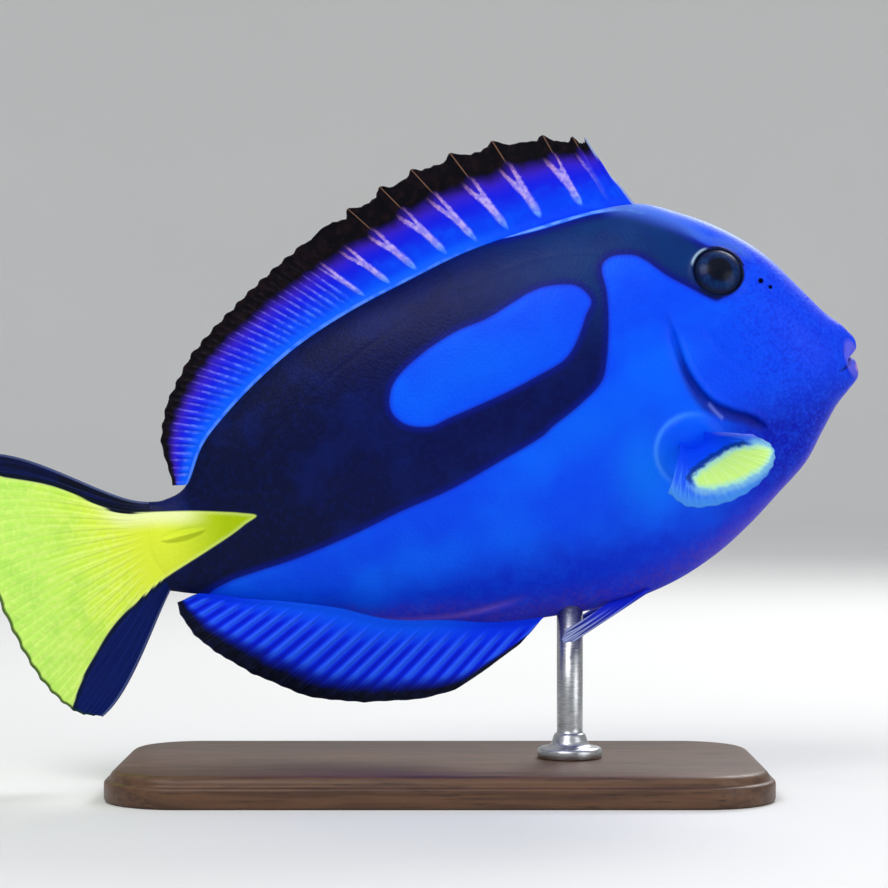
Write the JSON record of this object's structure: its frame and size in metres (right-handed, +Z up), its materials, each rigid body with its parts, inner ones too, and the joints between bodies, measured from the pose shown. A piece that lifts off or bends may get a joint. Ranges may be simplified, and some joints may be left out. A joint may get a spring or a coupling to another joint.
{
  "type": "regal blue tang, life-size model on a display stand",
  "caption": "Life-size surgeonfish: deep thin body with a folded tail blade, ray-ribbed fins spread, nose tipped up on a flat base with a rod.",
  "frame": {"origin": "centre of the base's underside, which stands on the floor at z = 0", "axes": "+X towards the fish's nose along the base, +Y to the fish's left, +Z up"},
  "size_m": [0.2298, 0.0926, 0.1712],
  "materials": {
    "blue_skin": "wet, finely scaled blue skin with a blue-black palette mark, a yellow wedge on the tail stem and a lilac sheen on the belly",
    "eye": "wet dark eye with a blue-grey iris",
    "blue_fin": "blue ribbed membrane with pale rays and a black margin",
    "yellow_fin": "lemon-yellow ribbed membrane with blue-black margins",
    "pectoral_fin": "blue membrane with a yellow-green band and a clear pale edge",
    "pelvic_fin": "pale rays on a bluish membrane",
    "stand_wood": "dark stained, satin",
    "stand_steel": "brushed"
  },
  "bodies": {
    "root": {"head": "blue_skin", "trunk": "blue_skin", "tail_stem": "blue_skin", "eye_left": "eye", "eye_right": "eye", "dorsal_fin": "blue_fin", "anal_fin": "blue_fin", "caudal_fin": "yellow_fin", "pectoral_fin_left": "pectoral_fin", "pectoral_fin_right": "pectoral_fin", "pelvic_fin_left": "pelvic_fin", "pelvic_fin_right": "pelvic_fin", "stand_base": "stand_wood", "stand_rod": "stand_steel"}
  },
  "joints": []
}
